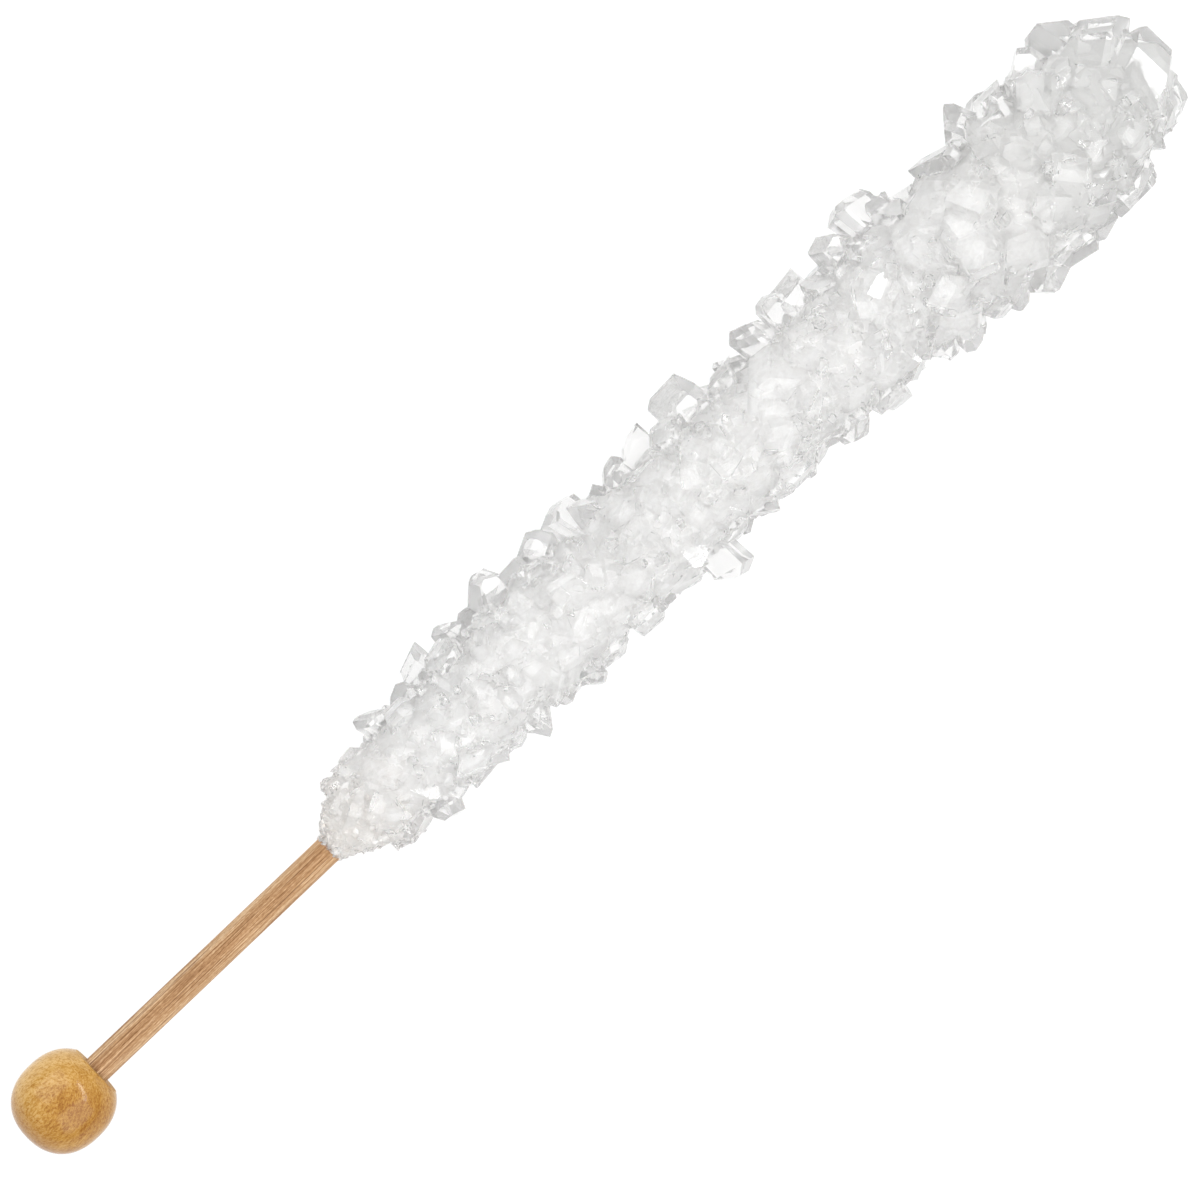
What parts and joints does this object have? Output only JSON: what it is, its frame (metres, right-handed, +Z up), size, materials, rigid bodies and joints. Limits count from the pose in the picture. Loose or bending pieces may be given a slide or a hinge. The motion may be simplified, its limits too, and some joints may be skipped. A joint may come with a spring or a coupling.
{
  "type": "rock candy stick",
  "caption": "Clear sugar crystals grown in a long knobbly mass round a wooden stick, with a turned wooden ball as its handle, lying on its side.",
  "frame": {"origin": "middle of the bounding box's base, on the surface the object lies on", "axes": "+X along the stick from the ball to the candy's tip, +Y to the fuller side of the candy, +Z up"},
  "size_m": [0.1766, 0.0256, 0.0245],
  "materials": {
    "sugar_crystal": "clear to milky sugar crystals with flat glossy facets",
    "stick_wood": "plain matte birch with fine lengthwise grain",
    "ball_wood": "golden wood, turned and varnished"
  },
  "bodies": {
    "root": {"candy": "sugar_crystal", "stick": "stick_wood", "ball": "ball_wood"}
  },
  "joints": []
}
